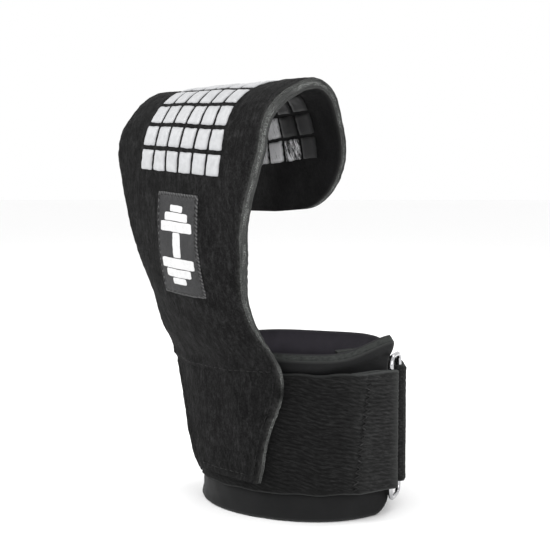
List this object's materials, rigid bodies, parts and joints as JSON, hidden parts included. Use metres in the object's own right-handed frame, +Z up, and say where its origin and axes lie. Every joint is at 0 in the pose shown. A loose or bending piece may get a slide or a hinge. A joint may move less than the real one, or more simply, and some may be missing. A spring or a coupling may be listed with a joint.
{
  "type": "gym hand grip",
  "caption": "Right-hand gym grip: neoprene wrist cuff, elastic strap with wire ring and hook-and-loop tail, and a padded palm flap curled over to hold a bar.",
  "frame": {"origin": "centre of the wrist opening, in the plane of the cuff's lower edge", "axes": "+Z up the forearm towards the fingers, -Y the palm side that carries the flap, +X the thumb side of a right hand"},
  "size_m": [0.0942, 0.0998, 0.1616],
  "materials": {
    "neoprene": "cut neoprene foam edge, matt",
    "neoprene_cover": "smooth nylon-faced neoprene, soft sheen",
    "lining": "brushed lining",
    "suede": "matt charcoal suede with a fine nap",
    "inner_leather": "smooth dark leather lining",
    "foam": "closed-cell padding",
    "elastic": "ribbed elastic webbing",
    "loop_tape": "brushed loop tape",
    "hook_tape": "moulded hook tape",
    "thread": "bonded sewing thread",
    "silver_print": "silver-white silicone print",
    "grey_print": "dark grey glossy silicone print",
    "label_weave": "woven satin label",
    "label_white": "white woven mark",
    "chrome_wire": "polished chrome wire"
  },
  "bodies": {
    "cuff": {"cuff_foam": "neoprene", "cuff_cover": "neoprene_cover", "cuff_lining": "lining", "base_tab": "suede", "tab_stitching": "thread", "ring_strap": "elastic", "ring_strap_tack": "thread", "wrist_strap": "elastic", "loop_patch": "loop_tape"},
    "front_flap": {"front_flap_outer": "suede", "front_flap_foam": "foam", "front_flap_inner": "inner_leather", "seam_stitching": "thread", "grip_squares_front": "silver_print", "bar_squares_front": "grey_print", "label_patch": "label_weave", "label_emblem": "label_white", "label_stitching": "thread"},
    "loop": {"loop_outer": "suede", "loop_foam": "foam", "loop_inner": "inner_leather", "grip_squares_arc": "silver_print", "bar_squares_arc": "grey_print"},
    "palm_flap": {"palm_flap_outer": "suede", "palm_flap_foam": "foam", "palm_flap_inner": "inner_leather", "grip_squares_palm": "silver_print", "bar_squares_palm": "grey_print"},
    "ring": {"buckle_ring": "chrome_wire", "strap_fold": "elastic"},
    "tail": {"strap_tail": "elastic", "hook_patch": "hook_tape", "tail_tack": "thread"}
  },
  "joints": [
    {"name": "flap_base_fold", "type": "hinge", "parent": "cuff", "child": "front_flap", "pos_m": [-0.002, -0.0399, 0.0563], "axis": [1, 0, 0], "range_deg": [-10, 90], "stiffness_Nm_per_rad": 0.6},
    {"name": "loop_open_front", "type": "hinge", "parent": "front_flap", "child": "loop", "pos_m": [0.004, -0.058, 0.1396], "axis": [1, 0, 0], "range_deg": [-6, 55], "stiffness_Nm_per_rad": 0.3},
    {"name": "loop_open_back", "type": "hinge", "parent": "loop", "child": "palm_flap", "pos_m": [0.008, -0.0223, 0.1528], "axis": [1, 0, 0], "range_deg": [-6, 55], "stiffness_Nm_per_rad": 0.2},
    {"name": "ring_swivel", "type": "hinge", "parent": "cuff", "child": "ring", "pos_m": [0.0439, 0.0096, 0.0325], "axis": [0, 0, -1], "range_deg": [0, 12], "stiffness_Nm_per_rad": 0.05},
    {"name": "tail_peel", "type": "hinge", "parent": "ring", "child": "tail", "pos_m": [0.03801, 0.02365, 0.0325], "axis": [0, 0, -1], "range_deg": [0, 100], "stiffness_Nm_per_rad": 0.02}
  ],
  "couplings": [
    {"joint": "loop_open_back", "follows": "loop_open_front", "ratio": 1}
  ]
}
